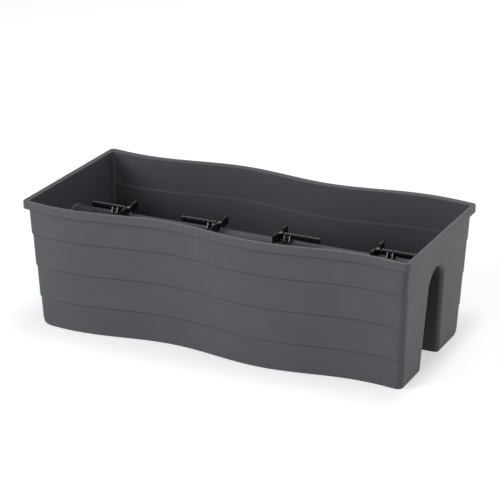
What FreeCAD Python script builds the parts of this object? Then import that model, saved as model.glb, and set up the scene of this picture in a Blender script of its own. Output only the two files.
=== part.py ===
"""Railing planter: a wavy-sided tub that straddles a handrail, with four ratchet clips on its crown.

Millimetres. +X runs along the rail, +Y to the back, +Z up. The origin lies on the ground, under the
middle of the tub. A half turn about the vertical axis brings the walls and the lip onto themselves.
"""
import FreeCAD, Part
import math
import os
from FreeCAD import Vector

os.makedirs("parts", exist_ok=True)

# Tub, overall
rim_length = 600.0
rim_width = 271.0            # between the middle lines of the two wavy sides
tub_height = 197.0
wall = 2.5
floor_thickness = 2.6
overrun = 5.0                # how far a cutting shape runs past what it cuts

# Wave of the two long sides
wave_height = 9.0
wave_count = 2
wave_points = 13

# Lean of the walls, in degrees from upright
side_lean = 1.6
end_lean = 3.2

# Lapped bands of the long sides, each one set in under the band above
first_step_height = 45.0
band_height = 50.0
step_count = 3
step_depth = 3.0
step_drop = 1.3              # height of the slanted ledge of a lap
inner_lap_rise = 1.7         # the inner ledges lie higher, which keeps the wall even over a lap

# Roundings of the tub
corner_radius = 9.5
foot_corner_growth = 8.0     # how much larger the corners' radius is at the foot
foot_corner_height = 15.0
foot_round = 1.5
inner_floor_round = 3.0
round_steps = 2

# Lip round the rim
lip_side_reach = 7.0
lip_end_reach = 4.5
lip_corner_radius = 7.5
lip_height = 11.5
lip_wall = 2.0
lip_top = 2.6
lip_round = 2.0
inner_rim_round = 1.4

# Rail channel under the tub
channel_height = 144.5
channel_arch_radius = 27.0
channel_lean = 3.2
channel_mouth_round = 6.5

# Knock-outs for drainage, under both legs
knockout_radius = 5.0
knockout_sides = 8
knockout_depth = 1.0
knockout_spacing = 300.0
knockout_count = 2

# Places of the near flanges of the collars: inner ones from the middle of the tub, outer ones from its ends
inner_flange_place = 57.5
outer_flange_inset = 83.5
clip_row_shift = 1.8         # of all four clips, along +X
outer_jaw_teeth_out = 2

# Running clearance of the toothed bar in its collar, and of the collar's legs in the crown
fit = 0.3

# Jaw plate
jaw_thickness = 3.0
jaw_half_width = 24.5
jaw_top = 14.4               # heights on a clip are measured from the crown
jaw_notch_floor = 11.5
jaw_notch_half_width = 8.0
jaw_wing_foot = 2.0
jaw_keel_half_width = 7.0
jaw_keel_gap = 0.4
horn_slant = 2.0
root_block_length = 2.5
root_block_half_width = 5.4
root_block_top = 11.5

# Toothed bar
bar_length = 64.5            # from the outer face of the jaw to the bar's free end
bar_thickness = 4.0
bar_core_height = 4.5
bar_middle_height = 7.45
tooth_height = 2.0
tooth_pitch = 4.0
tooth_tip = 1.5
tooth_root = 2.7
rail_reach = 0.8
rail_height = 1.6

# Latch collar
near_flange_place = 10.9     # from the outer face of a jaw that is fully in
flange_spacing = 8.1
flange_thickness = 1.7
flange_height = 10.0
flange_foot_half_width = 9.0
flange_top_half_width = 5.0
collar_base_thickness = 2.0
collar_cheek_height = 7.2
collar_cheek_half_width = 5.0
pawl_length = 3.0
pawl_tip_length = 1.0

# Landing on the crown, and the snap legs that hold the collar in it
landing_margin = 1.5
leg_length = 6.0
leg_thickness = 1.6
leg_half_spread = 5.0
barb_reach = 1.0
barb_height = 2.4

inner_clip_place = inner_flange_place - near_flange_place
outer_clip_place = rim_length / 2 - outer_flange_inset - near_flange_place
wave_length = rim_length / wave_count
side_fall = math.tan(math.radians(side_lean))
end_fall = math.tan(math.radians(end_lean))
arch_centre = channel_height - channel_arch_radius
crown_height = channel_height + wall
step_heights = [first_step_height + band_height * i for i in range(step_count)]


def wave(x):
    """Sideways offset of a long side at x."""
    return -wave_height * math.sin(2 * math.pi * x / wave_length)


def wave_slope(x):
    """Slope of a long side at x."""
    return -wave_height * 2 * math.pi / wave_length * math.cos(2 * math.pi * x / wave_length)


def front_corner(hand, half_length, half_width, radius):
    """Corner arc of the front side: hand is 1 at the right end and -1 at the left end.

    Returns the point on the wave, the middle of the arc, the point on the end wall, and the wave's slope.
    """
    x = hand * half_length
    for _ in range(8):
        slope = wave_slope(x)
        norm = math.sqrt(1 + slope * slope)
        x = hand * (half_length - radius) + radius * slope / norm
    centre = Vector(hand * (half_length - radius), wave(x) - half_width + radius / norm, 0)
    on_wave = Vector(x, wave(x) - half_width, 0)
    on_end = centre + Vector(hand * radius, 0, 0)
    middle = (on_wave - centre) + (on_end - centre)
    middle.normalize()
    return on_wave, centre + middle * radius, on_end, slope


def outline(z, side_inset, end_inset, radius):
    """Closed outline of the tub at height z, set in from the lip by the two insets."""
    half_length = rim_length / 2 - end_inset
    half_width = rim_width / 2 - side_inset
    left = front_corner(-1, half_length, half_width, radius)
    right = front_corner(1, half_length, half_width, radius)
    points = []
    for i in range(wave_points):
        x = left[0].x + (right[0].x - left[0].x) * i / (wave_points - 1)
        points.append(Vector(x, wave(x) - half_width, 0))
    side = Part.BSplineCurve()
    side.interpolate(Points=points, InitialTangent=Vector(1, left[3], 0), FinalTangent=Vector(1, right[3], 0))
    half = [side.toShape(), Part.Arc(right[0], right[1], right[2]).toShape()]
    half.append(Part.LineSegment(right[2], -left[2]).toShape())
    turned_corner = [-point for point in reversed(left[:3])]
    half.append(Part.Arc(turned_corner[0], turned_corner[1], turned_corner[2]).toShape())
    edges = []
    for turn in (0, 180):
        for edge in half:
            copy = edge.copy()
            copy.rotate(Vector(0, 0, 0), Vector(0, 0, 1), turn)
            copy.translate(Vector(0, 0, z))
            edges.append(copy)
    return Part.Wire(edges)


def wall_insets(z):
    """Insets of the outer wall at height z, from its lean alone."""
    depth = tub_height - z
    return lip_side_reach + side_fall * depth, lip_end_reach + end_fall * depth


def corner_radius_at(z):
    """Radius of the outer wall's corners at height z, larger towards the foot."""
    return corner_radius + foot_corner_growth * max(0, 1 - z / foot_corner_height)


def wall_section(z, laps, extra):
    """Outline of the wall at height z, below the given number of laps and set in by extra."""
    side, end = wall_insets(z)
    side += laps * step_depth + extra
    return outline(z, side, end + extra, corner_radius_at(z) - extra)


def banded_sections(foot, foot_radius, extra, lap_rise, top):
    """Outlines of the lapped bands from the height foot, rounded at its lower edge, up to the height top."""
    sections = []
    for i in range(round_steps + 1):
        angle = math.pi / 2 * i / round_steps
        rise = foot_radius * (1 - math.cos(angle))
        sections.append(wall_section(foot + rise, step_count, extra + foot_radius * (1 - math.sin(angle))))
    sections.append(wall_section(foot_corner_height, step_count, extra))
    for i, height in enumerate(step_heights):
        middle = height + lap_rise
        sections.append(wall_section(middle - step_drop / 2, step_count - i, extra))
        sections.append(wall_section(middle + step_drop / 2, step_count - i - 1, extra))
    sections.append(wall_section(top, 0, extra))
    return sections


def lip_section(z, extra):
    """Outline of the lip at height z, set in by extra."""
    return outline(z, extra, extra, lip_corner_radius - extra)


def lip_solid():
    """Solid block of the lip, rounded along its upper edge."""
    sections = [lip_section(tub_height - lip_height, 0)]
    for i in range(round_steps + 1):
        angle = math.pi / 2 * i / round_steps
        drop = lip_round * (1 - math.sin(angle))
        sections.append(lip_section(tub_height - drop, lip_round * (1 - math.cos(angle))))
    return Part.makeLoft(sections, True, True)


def lip_hollow():
    """Space inside the downturned lip, all round."""
    sections = [lip_section(tub_height - lip_height - overrun, lip_wall)]
    sections.append(lip_section(tub_height - lip_top, lip_wall))
    return Part.makeLoft(sections, True, True)


def arch_wire(grow):
    """Section of the rail channel, grown by grow, in the plane x = 0."""
    radius = channel_arch_radius + grow
    lean = math.radians(channel_lean)
    low = -overrun
    foot = (radius + (arch_centre - low) * math.sin(lean)) / math.cos(lean)
    spring_y = radius * math.cos(lean)
    spring_z = arch_centre + radius * math.sin(lean)
    left = Part.LineSegment(Vector(0, -foot, low), Vector(0, -spring_y, spring_z))
    arch = Part.Arc(left.EndPoint, Vector(0, 0, arch_centre + radius), Vector(0, spring_y, spring_z))
    right = Part.LineSegment(arch.EndPoint, Vector(0, foot, low))
    base = Part.LineSegment(right.EndPoint, left.StartPoint)
    return Part.Wire([edge.toShape() for edge in (left, arch, right, base)])


def arch_mouth(hand, foot_x, skin):
    """Rounded mouth of the rail channel in one end wall, grown by skin; hand picks the end."""
    bend = channel_mouth_round - skin
    stations = [(-overrun, channel_mouth_round)]
    for i in range(round_steps + 2):
        angle = math.pi / 2 * i / (round_steps + 1)
        depth = channel_mouth_round - bend * math.cos(angle)
        stations.append((depth, channel_mouth_round - bend * math.sin(angle)))
    sections = []
    for depth, grow in stations:
        lean = FreeCAD.Matrix()
        lean.A13 = hand * end_fall
        lean.A14 = hand * (foot_x - depth)
        sections.append(arch_wire(grow).transformGeometry(lean))
    return Part.makeLoft(sections, True, True)


def arch_solid(skin):
    """Prism of the rail channel with rounded mouths, grown by skin to make the ridge over it."""
    foot_x = rim_length / 2 - lip_end_reach - end_fall * tub_height
    bar = Part.Face(arch_wire(skin)).extrude(Vector(rim_length, 0, 0))
    bar.translate(Vector(-rim_length / 2, 0, 0))
    low = -2 * overrun
    half_low = foot_x - channel_mouth_round + end_fall * low
    half_high = foot_x - channel_mouth_round + end_fall * tub_height
    corners = [
        Vector(-half_low, -rim_width / 2, low),
        Vector(half_low, -rim_width / 2, low),
        Vector(half_high, -rim_width / 2, tub_height),
        Vector(-half_high, -rim_width / 2, tub_height),
    ]
    span = Part.Face(Part.makePolygon(corners + corners[:1])).extrude(Vector(0, rim_width, 0))
    mouths = [arch_mouth(-1, foot_x, skin), arch_mouth(1, foot_x, skin)]
    return bar.common(span).fuse(mouths).removeSplitter()


def cavity_solid():
    """Room for the soil: the space between the walls, less the ridge over the rail channel."""
    top = tub_height - inner_rim_round
    sections = banded_sections(floor_thickness, inner_floor_round, wall, inner_lap_rise, top)
    for i in range(1, round_steps + 1):
        angle = math.pi / 2 * i / round_steps
        rise = inner_rim_round * math.sin(angle)
        opening = inner_rim_round * (1 - math.cos(angle))
        sections.append(wall_section(tub_height - inner_rim_round + rise, 0, wall - opening))
    sections.append(wall_section(tub_height + overrun, 0, wall - inner_rim_round))
    return Part.makeLoft(sections, True, True).cut(arch_solid(wall))


def box(x_from, x_to, y_from, y_to, z_from, z_to):
    """Box between two corners."""
    size = Vector(x_to - x_from, y_to - y_from, z_to - z_from)
    return Part.makeBox(size.x, size.y, size.z, Vector(x_from, y_from, z_from))


def collar_span():
    """Near and far face of the collar along the bar."""
    return near_flange_place - flange_thickness / 2, near_flange_place + flange_spacing + flange_thickness / 2


def collar_middle():
    """Middle of the collar along the bar."""
    return near_flange_place + flange_spacing / 2


def landing():
    """Flat landing on the crown under one collar, in the clip's own frame and still deeper than the crown."""
    near, far = collar_span()
    reach = flange_foot_half_width + landing_margin
    return box(near - landing_margin, far + landing_margin, -reach, reach, -wall - overrun, 0)


def leg_slot():
    """Slot through the crown for the legs of one collar, in the clip's own frame."""
    middle = collar_middle()
    half = leg_length / 2 + fit
    spread = leg_half_spread + fit
    return box(middle - half, middle + half, -spread, spread, -wall - overrun, overrun)


def trapezoid_plate(x_from, x_to):
    """One flange of the collar, narrower towards its top."""
    corners = [
        Vector(x_from, -flange_foot_half_width, 0),
        Vector(x_from, flange_foot_half_width, 0),
        Vector(x_from, flange_top_half_width, flange_height),
        Vector(x_from, -flange_top_half_width, flange_height),
    ]
    face = Part.Face(Part.makePolygon(corners + corners[:1]))
    return face.extrude(Vector(x_to - x_from, 0, 0))


def bar_passage():
    """Clear way of the toothed bar and its side rails through the collar."""
    near, far = collar_span()
    half = bar_thickness / 2 + fit
    low = bar_middle_height - bar_core_height / 2 - tooth_height - fit
    rail_half = rail_height / 2 + fit
    wide = half + rail_reach
    slot = box(near - overrun, far + overrun, -half, half, low, flange_height + overrun)
    groove = box(near - overrun, far + overrun, -wide, wide,
                 bar_middle_height - rail_half, bar_middle_height + rail_half)
    return slot.fuse(groove)


def snap_leg(hand):
    """Leg of the collar with a barb that catches under the crown; hand picks the side."""
    middle = collar_middle()
    inner = leg_half_spread - leg_thickness
    barb = leg_half_spread + barb_reach
    roof = arch_centre + math.sqrt(channel_arch_radius ** 2 - barb ** 2)
    catch = roof - crown_height - fit
    outline_points = [
        (inner, 0),
        (leg_half_spread, 0),
        (leg_half_spread, catch),
        (barb, catch),
        (leg_half_spread, catch - barb_height),
        (inner, catch - barb_height),
    ]
    corners = [Vector(middle - leg_length / 2, hand * y, z) for y, z in outline_points]
    return Part.Face(Part.makePolygon(corners + corners[:1])).extrude(Vector(leg_length, 0, 0))


def pawl():
    """Ramped tooth on the collar's base, just clear of the bar's lower teeth."""
    middle = collar_middle()
    top = bar_middle_height - bar_core_height / 2 - tooth_height - fit
    half = bar_thickness / 2
    start = Vector(middle - pawl_length / 2, -half, collar_base_thickness)
    corners = [
        start,
        start + Vector(pawl_length, 0, 0),
        start + Vector(pawl_length, 0, top - collar_base_thickness),
        start + Vector(pawl_length - pawl_tip_length, 0, top - collar_base_thickness),
    ]
    return Part.Face(Part.makePolygon(corners + corners[:1])).extrude(Vector(0, bar_thickness, 0))


def latch_collar():
    """Collar that guides the toothed bar: base, two flanges, two cheeks, pawl and snap legs."""
    near, far = collar_span()
    base = box(near, far, -flange_foot_half_width, flange_foot_half_width, 0, collar_base_thickness)
    cheeks = box(near, far, -collar_cheek_half_width, collar_cheek_half_width, 0, collar_cheek_height)
    flanges = [trapezoid_plate(near, near + flange_thickness), trapezoid_plate(far - flange_thickness, far)]
    well_half = bar_thickness / 2 + fit
    well = box(near + flange_thickness, far - flange_thickness, -well_half, well_half,
               collar_base_thickness, flange_height)
    body = base.fuse([cheeks] + flanges).cut([bar_passage(), well])
    return body.fuse([snap_leg(1), snap_leg(-1), pawl()]).removeSplitter()


def jaw_plate():
    """Cross plate of the jaw, with a horn at each upper corner and a keel near the crown."""
    half = [
        (jaw_keel_half_width, jaw_keel_gap),
        (jaw_half_width, jaw_wing_foot),
        (jaw_half_width, jaw_top - horn_slant),
        (jaw_half_width - horn_slant, jaw_top),
        (jaw_notch_half_width + horn_slant, jaw_top),
        (jaw_notch_half_width, jaw_notch_floor),
    ]
    points = half + [(-y, z) for y, z in reversed(half)]
    corners = [Vector(0, y, z) for y, z in points]
    return Part.Face(Part.makePolygon(corners + corners[:1])).extrude(Vector(jaw_thickness, 0, 0))


def toothed_bar():
    """Bar with a row of teeth above and below, drawn as one outline and given its thickness."""
    start = jaw_thickness + root_block_length
    half_core = bar_core_height / 2
    flank = (tooth_pitch - tooth_tip - tooth_root) / 2
    count = int((bar_length - start) / tooth_pitch)
    first = bar_length - count * tooth_pitch
    upper = [(jaw_thickness, half_core)]
    for i in range(count):
        foot = first + i * tooth_pitch
        upper.append((foot + tooth_root / 2, half_core))
        upper.append((foot + tooth_root / 2 + flank, half_core + tooth_height))
        upper.append((foot + tooth_root / 2 + flank + tooth_tip, half_core + tooth_height))
        upper.append((foot + tooth_pitch - tooth_root / 2, half_core))
    upper.append((bar_length, half_core))
    points = upper + [(x, -z) for x, z in reversed(upper)]
    corners = [Vector(x, -bar_thickness / 2, bar_middle_height + z) for x, z in points]
    bar = Part.Face(Part.makePolygon(corners + corners[:1])).extrude(Vector(0, bar_thickness, 0))
    rail_half = bar_thickness / 2 + rail_reach
    rails = box(start, bar_length, -rail_half, rail_half,
                bar_middle_height - rail_height / 2, bar_middle_height + rail_height / 2)
    return bar.fuse(rails)


def jaw_rack():
    """Jaw plate, root block and toothed bar in one moulding."""
    low = bar_middle_height - bar_core_height / 2 - tooth_height
    block = box(0, jaw_thickness + root_block_length, -root_block_half_width, root_block_half_width,
                low, root_block_top)
    return jaw_plate().fuse([block, toothed_bar()]).removeSplitter()


def knockout():
    """Shallow many-sided mark under a leg, at the middle of which a drain hole is knocked out."""
    corners = []
    for i in range(knockout_sides):
        angle = 2 * math.pi * i / knockout_sides
        corners.append(Vector(knockout_radius * math.cos(angle), knockout_radius * math.sin(angle), 0))
    return Part.Face(Part.makePolygon(corners + corners[:1])).extrude(Vector(0, 0, knockout_depth))


def planter_tub(placements):
    """Tub with its lip, rail channel, knock-outs, and a landing and a slot on the crown for each collar."""
    outer = Part.makeLoft(banded_sections(0, foot_round, 0, 0, tub_height - lip_round), True, True)
    lip = lip_solid().cut(lip_hollow().cut(outer))
    tub = outer.fuse(lip).cut(cavity_solid())
    tub = tub.fuse([put(landing(), place) for place in placements])
    tub = tub.cut(arch_solid(0))
    tub = tub.cut([put(leg_slot(), place) for place in placements])
    side, _ = wall_insets(0)
    leg_middle = (rim_width / 2 - side - step_count * step_depth + channel_arch_radius) / 2
    marks = []
    for hand in (-1, 1):
        for i in range(knockout_count):
            x = knockout_spacing * (i - (knockout_count - 1) / 2)
            mark = knockout()
            mark.translate(Vector(x, hand * leg_middle, 0))
            marks.append(mark)
    return tub.cut(marks)


def put(shape, placement):
    """Copy of a clip shape at its place on the crown: distance from the middle, and side."""
    distance, hand = placement
    copy = shape.copy()
    copy.translate(Vector(distance, 0, crown_height))
    if hand < 0:
        copy.rotate(Vector(0, 0, 0), Vector(0, 0, 1), 180)
    return copy


def save(shape, node):
    """Write one piece to its file and print what it is."""
    solids = shape.Solids
    shape = solids[0] if len(solids) == 1 else Part.makeCompound(solids)
    shape.exportStep("parts/" + node + ".step")
    print(node, "solids", len(solids), "valid", shape.isValid(), "volume in mm3", round(shape.Volume))


outer_jaw_travel = outer_jaw_teeth_out * tooth_pitch
clips = [
    (outer_clip_place, -1, outer_jaw_travel),
    (inner_clip_place, -1, 0),
    (inner_clip_place, 1, 0),
    (outer_clip_place, 1, outer_jaw_travel),
]
collar_places = [(distance + hand * clip_row_shift, hand) for distance, hand, _ in clips]
save(planter_tub(collar_places), "planter_tub")
for number, (distance, hand, travel) in enumerate(clips, 1):
    collar_distance = distance + hand * clip_row_shift
    save(put(jaw_rack(), (collar_distance - travel, hand)), "jaw_rack_%d" % number)
    save(put(latch_collar(), (collar_distance, hand)), "latch_collar_%d" % number)
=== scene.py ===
"""Railing planter: the moulded tub, its ratchet clips and the studio that they stand in.

+X runs along the handrail, +Y to the back and +Z up. Lengths are in metres, and in millimetres
where a comment or docstring says so. The tub is built here ring by ring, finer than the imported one
and in the same place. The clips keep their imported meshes, and get softened edges and a finish.
"""

from __future__ import annotations

import logging
import math
from dataclasses import dataclass, field, replace
from enum import Enum
from typing import Iterable, NamedTuple, Sequence

import bpy
import numpy as np
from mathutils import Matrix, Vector


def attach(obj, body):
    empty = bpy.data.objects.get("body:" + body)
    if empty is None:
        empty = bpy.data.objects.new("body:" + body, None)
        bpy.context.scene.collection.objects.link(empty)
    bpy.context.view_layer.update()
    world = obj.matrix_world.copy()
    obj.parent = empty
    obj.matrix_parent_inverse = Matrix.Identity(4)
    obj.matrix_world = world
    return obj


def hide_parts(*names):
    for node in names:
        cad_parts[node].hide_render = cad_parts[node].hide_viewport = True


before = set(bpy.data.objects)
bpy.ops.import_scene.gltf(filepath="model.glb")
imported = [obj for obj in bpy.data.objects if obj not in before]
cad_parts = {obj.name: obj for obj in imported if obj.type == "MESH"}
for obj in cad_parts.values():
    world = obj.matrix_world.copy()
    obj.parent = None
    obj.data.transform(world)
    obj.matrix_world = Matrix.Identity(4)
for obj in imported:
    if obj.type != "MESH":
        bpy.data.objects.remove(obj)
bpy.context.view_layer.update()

MM = 0.001
LOG = logging.getLogger("railing_planter")

# Sizes that the tub shares with its channel and its shading, in millimetres.
RIM_LENGTH = 600.0
RIM_WIDTH = 271.0
TUB_HEIGHT = 197.0
WALL = 2.5
WAVE_HEIGHT = 9.0
WAVE_LENGTH = 300.0
SIDE_FALL = math.tan(math.radians(1.6))
END_LEAN = math.radians(3.2)
END_FALL = math.tan(END_LEAN)
STEP_HEIGHTS = (45.0, 95.0, 145.0)
STEP_DEPTH = 3.0
LIP_SIDE = 7.0
LIP_END = 4.5
LIP_HEIGHT = 11.5
CHANNEL_HEIGHT = 144.5

# Where painted highlights go on the clips: the bars' teeth, in metres, and the lean of the flanges,
# as a normal's Z.
BAR_MIDDLE = 0.15445
BAR_HALF_WIDTH = 0.0024
TIP_START = 0.00395
TIP_END = 0.00415
FLANGE_LEAN = math.sin(math.atan(0.4))
FLANGE_SLACK = 0.1

WHITE = (1.0, 1.0, 1.0, 1.0)
# Colour of the painted shade under the laps and the lip.
PAINTED_SHADE_COLOUR = (0.004, 0.004, 0.005)
DARK_MOTTLE = 0.965
PALE_MOTTLE = 1.035
DUST_DULLING = 0.12
WEAR_POLISH = 0.1
BUMP_STRENGTH = 0.6
PLASTIC_IOR = 1.49
NORMAL_WEIGHT = 60
CONIC_WEIGHT = math.sqrt(0.5)
SHORTEST = 1e-9

Point = tuple[float, float, float]
Spot = tuple[float, float]
Socket = bpy.types.NodeSocket
Outputs = bpy.types.NodeOutputs
Object = bpy.types.Object


class Side(Enum):
    """The end of the tub toward which a clip's place is counted."""

    RIGHT = 1
    LEFT = -1


class Station(NamedTuple):
    """A height on a wall, its insets and its sharp and blunt corners' radii. Millimetres."""

    z: float
    side: float
    end: float
    sharp: float
    blunt: float


# ----- node helpers -----


class NodeBoard:
    """A node tree with short ways to place and join nodes."""

    column_width = 180

    def __init__(self, tree: bpy.types.NodeTree) -> None:
        """Keep the tree.

        Args:
            tree: the shader node tree or node group to fill.
        """
        self.tree = tree
        self.column = 0

    @classmethod
    def fresh(cls, owner: bpy.types.ID) -> NodeBoard:
        """Start an empty node tree.

        Args:
            owner: the material or world that it belongs to.

        Returns:
            The board of its tree.
        """
        owner.use_nodes = True
        owner.node_tree.nodes.clear()
        return cls(owner.node_tree)

    def add(self, kind: str, **settings: object) -> bpy.types.Node:
        """Place one node.

        Args:
            kind: the node's type name.
            **settings: attributes to set on it.

        Returns:
            The new node.
        """
        node = self.tree.nodes.new(kind)
        node.location = (self.column_width * self.column, 0)
        self.column += 1
        for name, value in settings.items():
            setattr(node, name, value)
        return node

    def join(self, source: Socket, target: Socket) -> None:
        """Link an output to an input."""
        self.tree.links.new(source, target)

    def feed(self, target: Socket, value: object) -> None:
        """Give an input its value.

        Args:
            target: the input.
            value: a socket to link, a number or a colour.
        """
        if isinstance(value, Socket):
            self.join(value, target)
        else:
            target.default_value = value

    def math(self, operation: str, *values: object) -> Socket:
        """Place a Math node.

        Args:
            operation: the Math operation.
            *values: a socket or a number for each of its inputs.

        Returns:
            The result socket.
        """
        node = self.add("ShaderNodeMath", operation=operation)
        for socket, value in zip(node.inputs, values):
            self.feed(socket, value)
        return node.outputs[0]

    def fold(self, operation: str, first: object, *others: object) -> Socket:
        """Run one Math operation along a row of values.

        Args:
            operation: the Math operation.
            first: a socket or a number.
            *others: more sockets or numbers.

        Returns:
            The last result.
        """
        for other in others:
            first = self.math(operation, first, other)
        return first

    def times(self, *factors: object) -> Socket:
        """Return the product of sockets and numbers."""
        return self.fold("MULTIPLY", *factors)

    def spread(
        self, value: Socket, low: float, high: float, to_low: float = 0.0, to_high: float = 1.0
    ) -> Socket:
        """Map a value from one range to another, clamped, with soft ends.

        Args:
            value: the socket to map.
            low: start of its range.
            high: end of its range.
            to_low: result at the start.
            to_high: result at the end.

        Returns:
            The mapped socket.
        """
        node = self.add("ShaderNodeMapRange", interpolation_type="SMOOTHSTEP")
        labels = ("Value", "From Min", "From Max", "To Min", "To Max")
        for label, number in zip(labels, (value, low, high, to_low, to_high)):
            self.feed(node.inputs[label], number)
        return node.outputs["Result"]

    def noise(self, vector: Socket, scale: object, detail: float, roughness: float) -> Socket:
        """Place a noise texture.

        Args:
            vector: coordinates.
            scale: a socket or a number.
            detail: octaves.
            roughness: weight of the finer octaves.

        Returns:
            Its factor socket.
        """
        node = self.add("ShaderNodeTexNoise")
        labels = ("Vector", "Scale", "Detail", "Roughness")
        for label, value in zip(labels, (vector, scale, detail, roughness)):
            self.feed(node.inputs[label], value)
        return node.outputs["Fac"]

    def blend_colours(self, share: Socket, first: object, second: object) -> Socket:
        """Mix two colours.

        Args:
            share: share of the second one.
            first: a socket or a colour.
            second: a socket or a colour.

        Returns:
            The mixed colour.
        """
        node = self.add("ShaderNodeMix", data_type="RGBA")
        colours = (socket for socket in node.inputs if socket.type == "RGBA")
        for target, value in zip((node.inputs["Factor"], *colours), (share, first, second)):
            self.feed(target, value)
        return next(socket for socket in node.outputs if socket.type == "RGBA")

    def object_place(self) -> Socket:
        """Return the object coordinates."""
        return self.add("ShaderNodeTexCoord").outputs["Object"]

    def surface(self, output: str) -> Socket:
        """Return one output of the Geometry node."""
        return self.add("ShaderNodeNewGeometry").outputs[output]

    def split(self, vector: Socket) -> Sequence[Socket]:
        """Return the three parts of a vector."""
        node = self.add("ShaderNodeSeparateXYZ")
        self.join(vector, node.inputs[0])
        return tuple(node.outputs)

    def any_ray(self, *kinds: str) -> Socket:
        """Return 1 for rays of any of these kinds and 0 for others.

        Args:
            *kinds: kinds of ray, as the Light Path node names them.
        """
        path = self.add("ShaderNodeLightPath").outputs
        return self.fold("MAXIMUM", *(path[f"Is {kind} Ray"] for kind in kinds))


class SharedGroup:
    """A shader node group that is built once and placed in several materials."""

    name: str = ""
    inputs: tuple[tuple[str, float], ...] = ()
    outputs: tuple[str, ...] = ()

    def __init__(self) -> None:
        """Build the group's tree from its class's inputs, outputs and wiring."""
        self.tree = bpy.data.node_groups.new(self.name, "ShaderNodeTree")
        face = self.tree.interface
        kind = "NodeSocketFloat"
        for label, value in self.inputs:
            socket = face.new_socket(name=label, in_out="INPUT", socket_type=kind)
            socket.default_value = value
        for label in self.outputs:
            face.new_socket(name=label, in_out="OUTPUT", socket_type=kind)
        board = NodeBoard(self.tree)
        source = board.add("NodeGroupInput")
        results = self.wire(board, source.outputs)
        sink = board.add("NodeGroupOutput")
        for label, socket in zip(self.outputs, results):
            board.join(socket, sink.inputs[label])

    def wire(self, board: NodeBoard, given: Outputs) -> Sequence[Socket]:
        """Place the group's nodes.

        Args:
            board: the group's tree.
            given: the group's input sockets.

        Returns:
            One socket for each output.
        """
        raise NotImplementedError

    def place(self, board: NodeBoard, **values: float) -> Outputs:
        """Put the group in a material.

        Args:
            board: the material's tree.
            **values: input values, with underscores for spaces.

        Returns:
            The group node's outputs.
        """
        node = board.add("ShaderNodeGroup", node_tree=self.tree)
        for label, value in values.items():
            node.inputs[label.replace("_", " ")].default_value = value
        return node.outputs


class MouldGrain(SharedGroup):
    """Fine spark-eroded grain that the mould leaves on plastic."""

    name = "mould_grain"
    inputs = (("Grains per metre", 1500.0), ("Pit share", 0.4))
    outputs = ("Height", "Mottle")
    fine_share = 0.6
    pit_scale = 0.6
    blotches_per_metre = 26.0

    def wire(self, board: NodeBoard, given: Outputs) -> Sequence[Socket]:
        """Wire fine noise with rounded pits, and a broad mottle.

        Args:
            board: the group's tree.
            given: the group's input sockets.

        Returns:
            The grain's height and the mottle mask.
        """
        place = board.object_place()
        fine = board.noise(place, given["Grains per metre"], detail=2.0, roughness=0.55)
        cells = board.add("ShaderNodeTexVoronoi", feature="SMOOTH_F1")
        board.join(place, cells.inputs["Vector"])
        scale = board.times(given["Grains per metre"], self.pit_scale)
        board.join(scale, cells.inputs["Scale"])
        pits = board.times(cells.outputs["Distance"], given["Pit share"])
        height = board.math("ADD", board.times(fine, self.fine_share), pits)
        broad = board.noise(place, self.blotches_per_metre, detail=3.0, roughness=0.6)
        return height, board.spread(broad, low=0.35, high=0.68)


class DrawMarks(SharedGroup):
    """Faint upright streaks from drawing the moulding off its core."""

    name = "draw_marks"
    inputs = (("Streaks per metre", 320.0), ("Stretch", 0.06))
    outputs = ("Streak", "Cloud")
    clouds_per_metre = 5.5

    def wire(self, board: NodeBoard, given: Outputs) -> Sequence[Socket]:
        """Wire a noise squeezed along Z, and a slow cloud.

        Args:
            board: the group's tree.
            given: the group's input sockets.

        Returns:
            The streak mask and the cloud mask.
        """
        place = board.object_place()
        x, y, z = board.split(place)
        merge = board.add("ShaderNodeCombineXYZ")
        flat = board.times(z, given["Stretch"])
        for source, target in zip((x, y, flat), merge.inputs):
            board.join(source, target)
        count = given["Streaks per metre"]
        streaks = board.noise(merge.outputs[0], count, detail=2.0, roughness=0.5)
        clouds = board.noise(place, self.clouds_per_metre, detail=2.0, roughness=0.5)
        return board.spread(streaks, low=0.42, high=0.72), board.spread(clouds, low=0.3, high=0.7)


class EdgeWear(SharedGroup):
    """Paler, rubbed edges where the plastic is handled."""

    name = "edge_wear"
    inputs = (("Reach", 0.5), ("Breakup per metre", 90.0))
    outputs = ("Wear",)

    def wire(self, board: NodeBoard, given: Outputs) -> Sequence[Socket]:
        """Wire the outward bend of the surface, broken up by noise.

        Args:
            board: the group's tree.
            given: the group's input sockets.

        Returns:
            The wear mask.
        """
        bend = board.spread(board.surface("Pointiness"), low=0.505, high=0.56)
        count = given["Breakup per metre"]
        broken = board.noise(board.object_place(), count, detail=4.0, roughness=0.65)
        rubbed = board.spread(broken, low=0.4, high=0.65, to_low=0.2)
        return (board.times(bend, rubbed, given["Reach"]),)


class SettledDust(SharedGroup):
    """Thin dust on what faces up."""

    name = "settled_dust"
    inputs = (("Cover", 0.3), ("Patches per metre", 34.0))
    outputs = ("Dust",)

    def wire(self, board: NodeBoard, given: Outputs) -> Sequence[Socket]:
        """Wire the upward share of the normal with patchy noise.

        Args:
            board: the group's tree.
            given: the group's input sockets.

        Returns:
            The dust mask.
        """
        upward = board.spread(board.split(board.surface("Normal"))[2], low=0.6, high=0.98)
        count = given["Patches per metre"]
        patchy = board.noise(board.object_place(), count, detail=5.0, roughness=0.6)
        patches = board.spread(patchy, low=0.38, high=0.7, to_low=0.25)
        return (board.times(upward, patches, given["Cover"]),)


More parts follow.
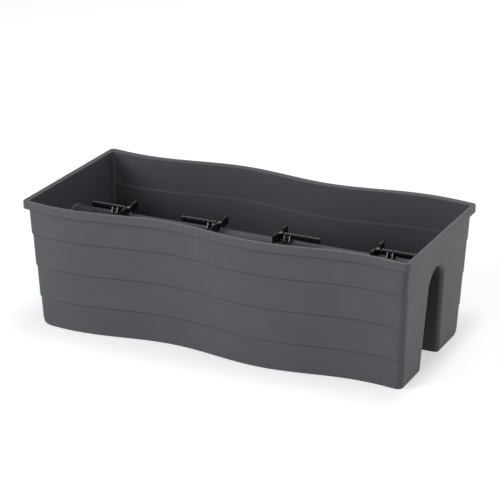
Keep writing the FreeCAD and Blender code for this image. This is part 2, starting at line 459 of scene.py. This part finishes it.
class PaintedLapShade(SharedGroup):
    """Painted shade in the corners under the lapped bands and under the lip of the long sides."""

    name = "painted_lap_shade"
    inputs = (("Reach", 0.0028), ("Depth", 0.0012))
    outputs = ("Shade",)
    line_rise = 0.0006
    line_gain = 2.2
    line_softness = 0.1
    line_end = 0.285
    fade_length = 0.045
    lip_reach = 0.0075
    lip_share = 0.45

    @staticmethod
    def face(height: float, laps: int) -> float:
        """Find the outer face.

        Args:
            height: height on the tub, in millimetres.
            laps: laps above this height.

        Returns:
            Its distance from the middle of the tub between the waves, in metres.
        """
        fall = SIDE_FALL * (TUB_HEIGHT - height)
        return (RIM_WIDTH / 2 - LIP_SIDE - fall - laps * STEP_DEPTH) * MM

    def wire(self, board: NodeBoard, given: Outputs) -> Sequence[Socket]:
        """Wire a soft line of painted shade on the outer face, just under each lap and under the
        lip.

        Args:
            board: the group's tree.
            given: the group's input sockets.

        Returns:
            The shade mask.
        """
        x, y, z = board.split(board.object_place())
        turn = board.times(x, math.tau / (WAVE_LENGTH * MM))
        wave = board.times(board.math("SINE", turn), WAVE_HEIGHT * MM)
        across = board.math("ABSOLUTE", board.math("ADD", y, wave))
        lines = []
        for i, height in enumerate(STEP_HEIGHTS):
            drop = board.math("SUBTRACT", height * MM + self.line_rise, z)
            under = board.math("GREATER_THAN", drop, 0.0)
            near = board.math("SUBTRACT", 1.0, board.math("DIVIDE", drop, given["Reach"]))
            near = board.math("SMOOTH_MAX", 0.0, near, self.line_softness)
            fade = board.math("MINIMUM", board.times(near, self.line_gain), 1.0)
            face = self.face(height, len(STEP_HEIGHTS) - i)
            outer = board.math("COMPARE", across, face, given["Depth"])
            lines.append(board.times(under, fade, outer))
        # The lines fade out before the blunt corners.
        blunt = board.times(x, board.math("SIGN", y))
        ends = board.spread(blunt, self.line_end - self.fade_length, self.line_end, 1.0, 0.0)
        bands = board.times(board.fold("MAXIMUM", *lines), ends)
        # Painted shade under the lip, fading downward.
        height = TUB_HEIGHT - LIP_HEIGHT
        edge = height * MM
        top = board.spread(z, edge - self.lip_reach, edge, to_high=self.lip_share)
        below = board.math("LESS_THAN", z, edge)
        outer = board.math("COMPARE", across, self.face(height, 0), given["Depth"])
        return (board.math("MAXIMUM", bands, board.times(top, below, outer)),)


@dataclass(frozen=True)
class SharedLooks:
    """The node groups that the plastics of the planter use."""

    grain: MouldGrain = field(default_factory=MouldGrain)
    marks: DrawMarks = field(default_factory=DrawMarks)
    wear: EdgeWear = field(default_factory=EdgeWear)
    dust: SettledDust = field(default_factory=SettledDust)
    # Painted shade under the laps and the lip.
    laps: PaintedLapShade = field(default_factory=PaintedLapShade)


@dataclass(frozen=True)
class MouldedPlastic:
    """A moulded plastic finish: its colours, gloss and grain."""

    name: str
    colour: Point
    worn_colour: Point
    dust_colour: Point
    gloss_low: float
    gloss_high: float
    specular: float
    grain_depth: float
    grains_per_metre: float
    streak_share: float
    wear_reach: float
    dust_cover: float
    painted_lap_shade_share: float = 0.0
    # Colour of the painted highlights on tooth tips and flange edges.
    painted_highlight_colour: Point = (0.4, 0.4, 0.41)
    painted_tip_highlight_share: float = 0.0
    painted_flange_highlight_share: float = 0.0

    def painted_tooth_tip_highlights(self, board: NodeBoard) -> Socket:
        """Return the share of the painted highlight on the tooth tips, above and below the middle of
        a bar.
        """
        _, y, z = board.split(board.object_place())
        off = board.math("ABSOLUTE", board.math("SUBTRACT", z, BAR_MIDDLE))
        tips = board.spread(off, TIP_START, TIP_END, to_high=self.painted_tip_highlight_share)
        return board.times(tips, board.math("COMPARE", y, 0.0, BAR_HALF_WIDTH))

    def painted_flange_highlights(self, board: NodeBoard) -> Socket:
        """Return the share of the painted highlight on the edges that lean back, on the flanges of a
        collar.
        """
        upward = board.split(board.surface("True Normal"))[2]
        leaning = board.math("COMPARE", upward, FLANGE_LEAN, FLANGE_SLACK)
        return board.times(leaning, self.painted_flange_highlight_share)

    def make(self, looks: SharedLooks) -> bpy.types.Material:
        """Build the material.

        Args:
            looks: the shared node groups.

        Returns:
            The material.
        """
        material = bpy.data.materials.new(self.name)
        material.diffuse_color = (*self.colour, 1.0)
        board = NodeBoard.fresh(material)
        grain = looks.grain.place(board, Grains_per_metre=self.grains_per_metre)
        marks = looks.marks.place(board)
        wear = looks.wear.place(board, Reach=self.wear_reach)["Wear"]
        dust = looks.dust.place(board, Cover=self.dust_cover)["Dust"]

        deep, pale = ([c * share for c in self.colour] for share in (DARK_MOTTLE, PALE_MOTTLE))
        base = board.blend_colours(grain["Mottle"], (*deep, 1.0), (*pale, 1.0))
        layers = [
            (board.times(marks["Streak"], self.streak_share), self.worn_colour),
            (wear, self.worn_colour),
            (dust, self.dust_colour),
        ]
        # Painted shade under the laps and the lip.
        if self.painted_lap_shade_share > 0:
            shade = looks.laps.place(board)["Shade"]
            layers.append((board.times(shade, self.painted_lap_shade_share), PAINTED_SHADE_COLOUR))
        # Painted highlights on the tooth tips.
        if self.painted_tip_highlight_share > 0:
            layers.append((self.painted_tooth_tip_highlights(board), self.painted_highlight_colour))
        # Painted highlights on the flanges' leaning edges.
        if self.painted_flange_highlight_share > 0:
            layers.append((self.painted_flange_highlights(board), self.painted_highlight_colour))
        for share, colour in layers:
            base = board.blend_colours(share, base, (*colour, 1.0))

        rough = board.spread(marks["Cloud"], 0.0, 1.0, self.gloss_low, self.gloss_high)
        rough = board.math("ADD", rough, board.times(dust, DUST_DULLING))
        rough = board.math("SUBTRACT", rough, board.times(wear, WEAR_POLISH))

        bump = board.add("ShaderNodeBump")
        bump.inputs["Strength"].default_value = BUMP_STRENGTH
        bump.inputs["Distance"].default_value = self.grain_depth
        board.join(grain["Height"], bump.inputs["Height"])

        shader = board.add("ShaderNodeBsdfPrincipled")
        shader.inputs["IOR"].default_value = PLASTIC_IOR
        shader.inputs["Specular IOR Level"].default_value = self.specular
        board.join(base, shader.inputs["Base Color"])
        board.join(rough, shader.inputs["Roughness"])
        board.join(bump.outputs["Normal"], shader.inputs["Normal"])
        sink = board.add("ShaderNodeOutputMaterial")
        board.join(shader.outputs["BSDF"], sink.inputs["Surface"])
        return material


TUB_FINISH = MouldedPlastic(
    name="anthracite_polypropylene",
    colour=(0.0759, 0.0806, 0.0905),
    worn_colour=(0.112, 0.117, 0.127),
    dust_colour=(0.16, 0.16, 0.155),
    gloss_low=0.46,
    gloss_high=0.5,
    specular=0.3,
    grain_depth=0.00006,
    grains_per_metre=1500.0,
    streak_share=0.04,
    wear_reach=0.3,
    dust_cover=0.1,
    # Share of the painted shade under the laps and the lip.
    painted_lap_shade_share=0.5,
)
JAW_FINISH = MouldedPlastic(
    name="black_nylon",
    colour=(0.003, 0.003, 0.0035),
    worn_colour=(0.03, 0.03, 0.033),
    dust_colour=(0.03, 0.03, 0.03),
    gloss_low=0.3,
    gloss_high=0.4,
    specular=0.15,
    grain_depth=0.00003,
    grains_per_metre=2200.0,
    streak_share=0.02,
    wear_reach=0.25,
    dust_cover=0.02,
    # Painted highlights on the tooth tips, in this colour.
    painted_highlight_colour=(0.5, 0.5, 0.51),
    painted_tip_highlight_share=0.9,
)
COLLAR_FINISH = replace(
    JAW_FINISH,
    name="black_nylon_painted_highlights",
    colour=(0.006, 0.006, 0.0065),
    worn_colour=(0.05, 0.05, 0.053),
    specular=0.2,
    wear_reach=0.4,
    # Painted highlights on the flanges' leaning edges, in this colour.
    painted_highlight_colour=(0.55, 0.55, 0.56),
    painted_tip_highlight_share=0.0,
    painted_flange_highlight_share=0.9,
)


# ----- scene and mesh helpers -----


def put_in_scene(name: str, data: bpy.types.ID) -> Object:
    """Make an object and link it to the scene.

    Args:
        name: name of the object.
        data: its mesh, camera or lamp.

    Returns:
        The new object.
    """
    thing = bpy.data.objects.new(name, data)
    bpy.context.scene.collection.objects.link(thing)
    return thing


def turn_back(thing: Object, back: Vector) -> None:
    """Turn a camera or lamp so that it looks away from a direction.

    Args:
        thing: the camera or lamp.
        back: the direction behind it.
    """
    thing.rotation_mode = "QUATERNION"
    thing.rotation_quaternion = back.to_track_quat("Z", "Y")


class MeshWorks:
    """Closed meshes from rings of points, and cuts between them."""

    @staticmethod
    def from_faces(name: str, points: Sequence[Point], faces: Sequence[Sequence[int]]) -> Object:
        """Make an object from points and faces.

        Args:
            name: name of the object.
            points: the points, in metres.
            faces: corner numbers of each face, counter-clockwise from outside.

        Returns:
            The new object.
        """
        mesh = bpy.data.meshes.new(name)
        mesh.from_pydata(points, [], faces)
        mesh.update()
        return put_in_scene(name, mesh)

    @staticmethod
    def from_rings(name: str, rings: Sequence[Sequence[Point]]) -> Object:
        """Skin a row of rings and cap both ends.

        Args:
            name: name of the object.
            rings: rings with the same number of points, in millimetres.

        Returns:
            The new object.
        """
        count = len(rings[0])
        points = [tuple(c * MM for c in point) for ring in rings for point in ring]
        faces: list[tuple[int, ...]] = []
        for low in range(0, (len(rings) - 1) * count, count):
            high = low + count
            for i in range(count):
                j = (i + 1) % count
                faces.append((low + i, low + j, high + j, high + i))
        faces.append(tuple(reversed(range(count))))
        faces.append(tuple(range((len(rings) - 1) * count, len(rings) * count)))
        return MeshWorks.from_faces(name, points, faces)

    @staticmethod
    def prisms(name: str, outlines: Sequence[Sequence[Spot]], low: float, high: float) -> Object:
        """Make several upright prisms in one object.

        Args:
            name: name of the object.
            outlines: plan of each prism, counter-clockwise, in millimetres.
            low: their lower height, in millimetres.
            high: their upper height, in millimetres.

        Returns:
            The new object.
        """
        points: list[Point] = []
        faces: list[tuple[int, ...]] = []
        for outline in outlines:
            start, count = len(points), len(outline)
            points += [(x * MM, y * MM, z * MM) for z in (low, high) for x, y in outline]
            faces.append(tuple(start + i for i in reversed(range(count))))
            faces.append(tuple(start + count + i for i in range(count)))
            for i in range(count):
                j = (i + 1) % count
                faces.append((start + i, start + j, start + count + j, start + count + i))
        return MeshWorks.from_faces(name, points, faces)

    @staticmethod
    def combine(piece: Object, tool: Object, operation: str) -> None:
        """Join or cut with a second closed mesh, which is then removed.

        Args:
            piece: the object that stays.
            tool: the object that it is joined with or cut by.
            operation: UNION or DIFFERENCE.
        """
        step = piece.modifiers.new(operation.lower(), "BOOLEAN")
        step.operation = operation
        step.solver = "EXACT"
        step.object = tool
        graph = bpy.context.evaluated_depsgraph_get()
        mesh = bpy.data.meshes.new_from_object(piece.evaluated_get(graph))
        piece.modifiers.clear()
        piece.data = mesh
        bpy.data.objects.remove(tool)

    @staticmethod
    def soften(piece: Object, angle: float) -> None:
        """Shade smooth across edges under an angle, weighted by face area.

        Args:
            piece: the object.
            angle: sharpest smooth edge, in degrees.
        """
        piece.data.polygons.foreach_set("use_smooth", [True] * len(piece.data.polygons))
        piece.data.set_sharp_from_angle(angle=math.radians(angle))
        weights = piece.modifiers.new("weighted_normals", "WEIGHTED_NORMAL")
        weights.keep_sharp = True
        weights.weight = NORMAL_WEIGHT


class Profile:
    """Stations up a wall, with softened corners."""

    def __init__(self) -> None:
        """Start with no stations."""
        self.corners: list[tuple[np.ndarray, float, int]] = []

    def add(self, station: Station, rounding: float = 0.0, steps: int = 3) -> None:
        """Add one corner.

        Args:
            station: the corner's place.
            rounding: how far from the corner the softening starts, in millimetres.
            steps: points along the softening.
        """
        self.corners.append((np.array(station, float), rounding, steps))

    def stations(self) -> list[Station]:
        """Return the stations with each corner softened."""
        found: list[Station] = []
        for i, (corner, rounding, steps) in enumerate(self.corners):
            if rounding <= 0 or i in (0, len(self.corners) - 1):
                found.append(Station(*corner))
                continue
            before = self._toward(corner, self.corners[i - 1][0], rounding)
            after = self._toward(corner, self.corners[i + 1][0], rounding)
            for k in range(steps + 1):
                t = k / steps
                parts = ((1 - t) ** 2, 2 * CONIC_WEIGHT * t * (1 - t), t * t)
                total = sum(parts)
                spot = (parts[0] * before + parts[1] * corner + parts[2] * after) / total
                found.append(Station(*spot))
        return found

    @staticmethod
    def _toward(corner: np.ndarray, other: np.ndarray, reach: float) -> np.ndarray:
        """Return the point at a distance from a corner toward its neighbour, half way at most."""
        step = other - corner
        length = float(np.linalg.norm(step[:2]))
        if length < SHORTEST:
            length = float(np.linalg.norm(step[:3]))
        return corner + step * min(0.5, reach / length)


# ----- the tub -----


@dataclass(frozen=True)
class CornerArc:
    """One rounded corner in plan: its first point, its middle and its last point. Millimetres."""

    start: np.ndarray
    centre: np.ndarray
    end: np.ndarray

    def turned(self) -> CornerArc:
        """Return the arc half a turn away, run from its other end."""
        return CornerArc(-self.end, -self.centre, -self.start)

    def points(self, count: int) -> list[np.ndarray]:
        """Return points along the arc, counter-clockwise and without its end.

        Args:
            count: how many points.
        """
        first, last = (math.atan2(*(p - self.centre)[::-1]) for p in (self.start, self.end))
        while last < first:
            last += math.tau
        radius = float(np.linalg.norm(self.end - self.centre))
        turns = [first + (last - first) * i / count for i in range(count)]
        return [self.centre + radius * np.array((math.cos(t), math.sin(t))) for t in turns]


@dataclass
class TubOutline:
    """Plan of the tub: two parallel waves, two straight ends, rounded corners. Millimetres."""

    side_points: int = 120
    corner_points: int = 10
    end_points: int = 24
    corner_tries: int = 8
    least_radius: float = 0.3

    def wave(self, x: float) -> float:
        """Sideways offset of a long side at x."""
        return -WAVE_HEIGHT * math.sin(math.tau * x / WAVE_LENGTH)

    def slope(self, x: float) -> float:
        """Slope of a long side at x."""
        turn = math.tau / WAVE_LENGTH
        return -WAVE_HEIGHT * turn * math.cos(turn * x)

    def corner(self, hand: int, half_length: float, half_width: float, radius: float) -> CornerArc:
        """Find a corner arc of the front side, which touches the wave and the end wall.

        Args:
            hand: 1 at the right end, -1 at the left end.
            half_length: half of the section's length.
            half_width: half of the section's width between middle lines.
            radius: radius of the corner.

        Returns:
            The arc from the wave to the end wall.
        """
        radius = max(radius, self.least_radius)
        x = hand * half_length
        norm = 1.0
        for _ in range(self.corner_tries):
            slope = self.slope(x)
            norm = math.sqrt(1 + slope * slope)
            x = hand * (half_length - radius) + radius * slope / norm
        side = self.wave(x) - half_width
        centre = np.array((hand * (half_length - radius), side + radius / norm))
        return CornerArc(np.array((x, side)), centre, centre + np.array((hand * radius, 0.0)))

    def ring(self, station: Station) -> list[Point]:
        """Return the closed outline at a station, counter-clockwise from the front left corner."""
        half_length = RIM_LENGTH / 2 - station.end
        half_width = RIM_WIDTH / 2 - station.side
        left = self.corner(-1, half_length, half_width, station.blunt)
        right = self.corner(1, half_length, half_width, station.sharp)
        half: list[np.ndarray] = []
        for i in range(self.side_points):
            x = left.start[0] + (right.start[0] - left.start[0]) * i / self.side_points
            half.append(np.array((x, self.wave(x) - half_width)))
        half += right.points(self.corner_points)
        for i in range(self.end_points):
            half.append(right.end + (-left.end - right.end) * i / self.end_points)
        half += left.turned().points(self.corner_points)
        return [(float(p[0]), float(p[1]), station.z) for p in half + [-p for p in half]]


@dataclass
class RailChannel:
    """The arched channel under the tub and the ridge over it. Millimetres."""

    arch_radius: float = 27.0
    mouth_round: float = 6.5
    end_foot: float = RIM_LENGTH / 2 - LIP_END - END_FALL * TUB_HEIGHT
    arch_steps: int = 40
    bend_steps: int = 8
    graze: float = 0.05

    def section(self, foot: float, hand: int, grow: float, low: float) -> list[Point]:
        """Return one section in a plane that leans with an end wall.

        Args:
            foot: x of the plane at the ground.
            hand: 1 at the right end, -1 at the left end.
            grow: how far the section stands outside the channel.
            low: height of its lower edge.
        """
        radius = self.arch_radius + grow
        centre = CHANNEL_HEIGHT - self.arch_radius
        base = (radius + (centre - low) * math.sin(END_LEAN)) / math.cos(END_LEAN)
        flat = [(-base, low)]
        for i in range(self.arch_steps + 1):
            turn = math.pi - END_LEAN - (math.pi - 2 * END_LEAN) * i / self.arch_steps
            flat.append((radius * math.cos(turn), centre + radius * math.sin(turn)))
        flat.append((base, low))
        return [(foot + hand * END_FALL * z, y, z) for y, z in reversed(flat)]

    def rings(self, skin: float, overrun: float, low: float) -> list[list[Point]]:
        """Return the sections from end to end, with rounded mouths.

        Args:
            skin: 0 for the channel, the wall thickness for the ridge.
            overrun: how far the first section stands outside the end wall.
            low: height of the lower edge.
        """
        bend = self.mouth_round - skin
        stations = [(-overrun, self.mouth_round)]
        for i in range(self.bend_steps + 1):
            turn = math.pi / 2 * i / self.bend_steps
            depth = self.mouth_round - bend * math.cos(turn) - self.graze
            stations.append((depth, self.mouth_round - bend * math.sin(turn)))
        rings = [self.section(-self.end_foot + depth, -1, grow, low) for depth, grow in stations]
        for depth, grow in reversed(stations):
            rings.append(self.section(self.end_foot - depth, 1, grow, low))
        return rings


@dataclass
class PlanterTub:
    """The moulded tub: bands, lip, ridge, landings, slots and knock-outs. Millimetres."""

    looks: SharedLooks
    floor: float = 2.6
    step_drop: float = 1.3
    step_round: float = 0.25
    step_points: int = 3
    inner_lap_rise: float = 1.7
    corner_radius: float = 9.5
    foot_corner_growth: float = 15.0
    inner_corner_share: float = 2.2
    foot_corner_heights: tuple[float, ...] = (0.6, 2.0, 4.5, 10.0)
    foot_round: float = 1.7
    floor_round: float = 3.2
    foot_points: int = 8
    lip_corner: float = 7.5
    lip_wall: float = 2.0
    lip_top: float = 2.6
    lip_round: float = 0.9
    lip_points: int = 6
    lip_edge: float = 0.4
    lip_root: float = 0.6
    lip_hollow: float = 0.5
    rim_round: float = 0.6
    rim_points: int = 5
    rim_fall: float = 1.5
    cap_inset: float = 12.0
    knockout_radius: float = 5.0
    knockout_depth: float = 1.0
    knockout_sides: int = 8
    knockout_spacing: float = 300.0
    knockout_count: int = 2
    clip_places: tuple[tuple[float, Side], ...] = (
        (203.8, Side.LEFT),
        (44.8, Side.LEFT),
        (48.4, Side.RIGHT),
        (207.4, Side.RIGHT),
    )
    landing_span: Spot = (8.55, 21.35)
    landing_reach: float = 10.5
    landing_depth: float = 1.0
    landing_rise: float = 0.02
    slot_span: Spot = (11.65, 18.25)
    slot_reach: float = 5.3
    overcut: float = 5.0
    smooth_angle: float = 28.0
    outline: TubOutline = field(default_factory=TubOutline)
    channel: RailChannel = field(default_factory=RailChannel)

    def wall_station(self, z: float, laps: int, extra: float) -> Station:
        """Return the wall's station at a height.

        Args:
            z: the height.
            laps: laps above this height.
            extra: how far inside the outer face.
        """
        depth = TUB_HEIGHT - z
        side = LIP_SIDE + SIDE_FALL * depth + laps * STEP_DEPTH + extra
        end = LIP_END + END_FALL * depth + extra
        share = max(0.0, 1.0 - z / self.foot_corner_heights[-1])
        growth = self.foot_corner_growth * (1.0 - math.sqrt(1.0 - share * share))
        radius = self.corner_radius - self.inner_corner_share * extra
        return Station(z, side, end, radius, radius + growth)

    def lip_station(self, z: float, extra: float) -> Station:
        """Return the lip's station at a height, set in by extra."""
        return Station(z, extra, extra, self.lip_corner - extra, self.lip_corner - extra)

    def add_bands(self, profile: Profile, extra: float, upward: bool) -> None:
        """Add the lapped bands to a profile.

        Args:
            profile: the profile to add to.
            extra: how far inside the outer face.
            upward: True from the foot up, False from the rim down.
        """
        half = self.step_drop / 2
        rise = self.inner_lap_rise if extra > 0 else 0.0
        low = self.floor + self.floor_round if extra > 0 else self.foot_round
        laps = len(STEP_HEIGHTS)
        rows = [self.wall_station(z, laps, extra) for z in self.foot_corner_heights if z > low]
        for i, height in enumerate(STEP_HEIGHTS):
            rows.append(self.wall_station(height + rise - half, laps - i, extra))
            rows.append(self.wall_station(height + rise + half, laps - i - 1, extra))
        for row in rows if upward else reversed(rows):
            rounding = self.step_round if row.z > self.foot_corner_heights[-1] else 0.0
            profile.add(row, rounding, self.step_points)

    def shell_profile(self) -> list[Station]:
        """Return the closed run of stations: out, up, over the rim and down to the floor."""
        laps = len(STEP_HEIGHTS)
        profile = Profile()
        profile.add(self.wall_station(0.0, laps, self.cap_inset))
        profile.add(self.wall_station(0.0, laps, 0.0), self.foot_round, self.foot_points)
        self.add_bands(profile, 0.0, upward=True)
        under = TUB_HEIGHT - self.lip_top
        lower = TUB_HEIGHT - LIP_HEIGHT
        rim = self.wall_station(TUB_HEIGHT - self.rim_fall, 0, WALL)
        profile.add(self.wall_station(under, 0, 0.0), self.lip_root)
        profile.add(self.lip_station(under, self.lip_wall), self.lip_hollow)
        profile.add(self.lip_station(lower, self.lip_wall), self.lip_edge)
        profile.add(self.lip_station(lower, 0.0), self.lip_edge)
        profile.add(self.lip_station(TUB_HEIGHT, 0.0), self.lip_round, self.lip_points)
        profile.add(rim, self.rim_round, self.rim_points)
        self.add_bands(profile, WALL, upward=False)
        floor = self.wall_station(self.floor, laps, WALL)
        profile.add(floor, self.floor_round, self.foot_points)
        profile.add(self.wall_station(self.floor, laps, WALL + self.cap_inset))
        return profile.stations()

    def clip_boxes(self, span: Spot, reach: float) -> list[list[Spot]]:
        """Return a rectangle at each clip's place.

        Args:
            span: near and far face along the bar.
            reach: half of the rectangle's width.
        """
        boxes = []
        for distance, side in self.clip_places:
            low, high = sorted(side.value * (distance + value) for value in span)
            boxes.append([(low, -reach), (high, -reach), (high, reach), (low, reach)])
        return boxes

    def knockout_outlines(self) -> list[list[Spot]]:
        """Return the many-sided marks under both legs."""
        inset = self.wall_station(0.0, len(STEP_HEIGHTS), 0.0).side
        middle = (RIM_WIDTH / 2 - inset + self.channel.arch_radius) / 2
        turns = [math.tau * i / self.knockout_sides for i in range(self.knockout_sides)]
        radius = self.knockout_radius
        marks = []
        for y in (-middle, middle):
            for i in range(self.knockout_count):
                x = self.knockout_spacing * (i - (self.knockout_count - 1) / 2)
                marks.append([(x + radius * math.cos(t), y + radius * math.sin(t)) for t in turns])
        return marks

    def build(self) -> Object:
        """Build, dress and seat the tub.

        Returns:
            The tub.
        """
        rings = [self.outline.ring(station) for station in self.shell_profile()]
        tub = MeshWorks.from_rings("moulded_tub", rings)
        crown = CHANNEL_HEIGHT + WALL
        ridge = MeshWorks.from_rings("ridge", self.channel.rings(WALL, -WALL / 2, self.floor / 2))
        MeshWorks.combine(tub, ridge, "UNION")
        seats = self.clip_boxes(self.landing_span, self.landing_reach)
        low, high = crown - WALL - self.landing_depth, crown + self.landing_rise
        MeshWorks.combine(tub, MeshWorks.prisms("landings", seats, low, high), "UNION")
        rail = self.channel.rings(0.0, self.overcut, -self.overcut)
        MeshWorks.combine(tub, MeshWorks.from_rings("rail_cutter", rail), "DIFFERENCE")
        slots = self.clip_boxes(self.slot_span, self.slot_reach)
        low, high = crown - WALL - self.overcut, crown + self.overcut
        MeshWorks.combine(tub, MeshWorks.prisms("slot_cutter", slots, low, high), "DIFFERENCE")
        marks, deep = self.knockout_outlines(), self.knockout_depth
        cutter = MeshWorks.prisms("knockout_cutter", marks, -deep, deep)
        MeshWorks.combine(tub, cutter, "DIFFERENCE")
        MeshWorks.soften(tub, self.smooth_angle)
        tub.data.materials.clear()
        tub.data.materials.append(TUB_FINISH.make(self.looks))
        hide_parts("planter_tub")
        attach(tub, "tub")
        return tub


# ----- the clips -----


@dataclass
class RatchetClips:
    """The four sliding jaws with their toothed bars, and their collars. Millimetres, degrees."""

    looks: SharedLooks
    count: int = 4
    merge_distance: float = 0.005
    flat_angle: float = 1.0
    edge_angle: float = 30.0
    edge_round: float = 0.14
    edge_segments: int = 2

    def nodes(self) -> Iterable[tuple[Object, bpy.types.Material]]:
        """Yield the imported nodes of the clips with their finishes."""
        jaw, collar = JAW_FINISH.make(self.looks), COLLAR_FINISH.make(self.looks)
        for number in range(1, self.count + 1):
            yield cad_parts[f"jaw_rack_{number}"], jaw
            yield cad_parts[f"latch_collar_{number}"], collar

    def soften(self, node: Object) -> None:
        """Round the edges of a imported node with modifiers, which leave its mesh as it is."""
        weld = node.modifiers.new("weld", "WELD")
        weld.merge_threshold = self.merge_distance * MM
        flat = node.modifiers.new("flat_faces", "DECIMATE")
        flat.decimate_type = "DISSOLVE"
        flat.angle_limit = math.radians(self.flat_angle)
        bevel = node.modifiers.new("soft_edges", "BEVEL")
        bevel.width = self.edge_round * MM
        bevel.segments = self.edge_segments
        bevel.limit_method = "ANGLE"
        bevel.angle_limit = math.radians(self.edge_angle)
        bevel.harden_normals = False
        weights = node.modifiers.new("weighted_normals", "WEIGHTED_NORMAL")
        weights.keep_sharp = False

    def build(self) -> list[Object]:
        """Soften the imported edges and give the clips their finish.

        Returns:
            The dressed nodes.
        """
        dressed = []
        for node, finish in self.nodes():
            self.soften(node)
            node.data.materials.clear()
            node.data.materials.append(finish)
            dressed.append(node)
        return dressed


# ----- the studio -----


@dataclass(frozen=True)
class PhotoCamera:
    """The photographer's camera, from the fit to the photograph. Millimetres and degrees."""

    photo_width: float = 500.0
    focal_pixels: float = 2093.70
    sensor: float = 36.0
    distance: float = 3052.5
    azimuth: float = 25.38
    elevation: float = 21.06
    target: Point = (1.75, 0.0, 123.10)
    clip_end: float = 50000.0

    def make(self) -> Object:
        """Place the camera.

        Returns:
            The camera.
        """
        data = bpy.data.cameras.new("photo_camera")
        data.sensor_fit = "HORIZONTAL"
        data.sensor_width = self.sensor
        data.lens = self.focal_pixels / self.photo_width * self.sensor
        data.clip_end = self.clip_end * MM
        camera = put_in_scene("photo_camera", data)
        turn, lift = math.radians(self.azimuth), math.radians(self.elevation)
        level = math.cos(lift)
        back = Vector((math.sin(turn) * level, -math.cos(turn) * level, math.sin(lift)))
        camera.location = Vector(self.target) * MM + back * self.distance * MM
        turn_back(camera, back)
        bpy.context.scene.camera = camera
        return camera


@dataclass(frozen=True)
class SoftLamp:
    """One soft square lamp that faces the planter: lengths in metres, power in watts."""

    name: str
    place: Point
    power: float
    size: float = 1.2
    target: Point = (0.0, 0.0, 0.1)

    def hang(self) -> Object:
        """Make the lamp.

        Returns:
            The lamp.
        """
        data = bpy.data.lights.new(self.name, "AREA")
        data.shape = "SQUARE"
        data.size = self.size
        data.energy = self.power
        lamp = put_in_scene(self.name, data)
        lamp.location = self.place
        turn_back(lamp, Vector(self.place) - Vector(self.target))
        return lamp


@dataclass
class Studio:
    """White floor with a painted soft shadow beside the planter, even pale surroundings and large
    soft lamps, brightest from the front left.
    """

    world_strength: float = 0.19
    seen_strength: float = 1.0
    floor_size: float = 9.0
    floor_colour: float = 0.88
    floor_glow: float = 0.66
    floor_glow_in_painted_shadow: float = 0.45
    shade_reach: float = 0.13
    lit_side_share: float = 3.0
    foot_half: Spot = (0.28, 0.11)
    lamps: tuple[SoftLamp, ...] = (
        SoftLamp("front_left_softbox", (-1.6, -1.7, 1.1), 26.5),
        SoftLamp("front_low_softbox", (0.0, -2.4, 0.5), 15.0),
        SoftLamp("front_high_softbox", (0.0, -2.1, 1.3), 2.6),
        SoftLamp("right_softbox", (2.1, 0.0, 1.3), 9.5),
        SoftLamp("back_softbox", (0.0, 2.0, 1.7), 7.0),
    )

    def build_world(self) -> None:
        """Light evenly, and show plain white to the camera and in the gloss."""
        world = bpy.data.worlds.new("pale_room")
        bpy.context.scene.world = world
        board = NodeBoard.fresh(world)
        mix = board.add("ShaderNodeMixShader")
        board.join(board.any_ray("Camera", "Glossy", "Transmission"), mix.inputs["Fac"])
        for strength, target in zip((self.world_strength, self.seen_strength), mix.inputs[1:]):
            light = board.add("ShaderNodeBackground")
            light.inputs["Color"].default_value = WHITE
            light.inputs["Strength"].default_value = strength
            board.join(light.outputs[0], target)
        sink = board.add("ShaderNodeOutputWorld")
        board.join(mix.outputs[0], sink.inputs["Surface"])

    def glow_with_painted_shadow(self, board: NodeBoard) -> Socket:
        """Return the floor's glow, lower beside the planter: a painted soft shadow, which the real
        shadow darkens further.

        Args:
            board: the floor's tree.
        """
        x, y, _ = board.split(board.object_place())
        half_length, half_width = self.foot_half
        left = board.math("SUBTRACT", board.times(x, -1.0), half_length)
        right = board.math("SUBTRACT", x, half_length)
        # The painted shadow reaches less far on the lit right side.
        right = board.times(right, self.lit_side_share)
        along = board.fold("MAXIMUM", left, right, 0.0)
        across = board.math("SUBTRACT", board.math("ABSOLUTE", y), half_width)
        across = board.math("MAXIMUM", across, 0.0)
        squares = (board.times(way, way) for way in (along, across))
        gap = board.math("SQRT", board.fold("ADD", *squares))
        return board.spread(gap, 0.0, self.shade_reach, self.floor_glow_in_painted_shadow, self.floor_glow)

    def build_floor(self) -> Object:
        """Lay the pale floor.

        Returns:
            The floor.
        """
        half = self.floor_size / 2
        corners = [(-half, -half, 0.0), (half, -half, 0.0), (half, half, 0.0), (-half, half, 0.0)]
        floor = MeshWorks.from_faces("studio_floor", corners, [(0, 1, 2, 3)])
        material = bpy.data.materials.new("pale_floor")
        board = NodeBoard.fresh(material)
        seen = board.any_ray("Camera", "Glossy")
        paper = board.add("ShaderNodeBsdfDiffuse")
        paper.inputs["Color"].default_value = (self.floor_colour,) * 3 + (1.0,)
        glow = board.add("ShaderNodeEmission")
        board.join(board.times(seen, self.glow_with_painted_shadow(board)), glow.inputs["Strength"])
        lit = board.add("ShaderNodeAddShader")
        for shader, target in zip((paper, glow), lit.inputs):
            board.join(shader.outputs[0], target)
        sink = board.add("ShaderNodeOutputMaterial")
        board.join(lit.outputs[0], sink.inputs["Surface"])
        floor.data.materials.append(material)
        return floor

    def build(self) -> None:
        """Build the room, the floor and the lamps."""
        self.build_world()
        self.build_floor()
        for lamp in self.lamps:
            lamp.hang()


def main() -> None:
    """Build the planter, the studio and the camera."""
    logging.basicConfig(level=logging.INFO, format="%(name)s: %(message)s")
    scene = bpy.context.scene
    scene.view_settings.view_transform = "Standard"
    looks = SharedLooks()
    tub = PlanterTub(looks).build()
    LOG.info("%s: %d faces", tub.name, len(tub.data.polygons))
    for node in RatchetClips(looks).build():
        LOG.info("%s: dressed", node.name)
    Studio().build()
    LOG.info("studio built")
    camera = PhotoCamera().make()
    LOG.info("%s: %.1f mm lens", camera.name, camera.data.lens)


if __name__ == "__main__":
    main()
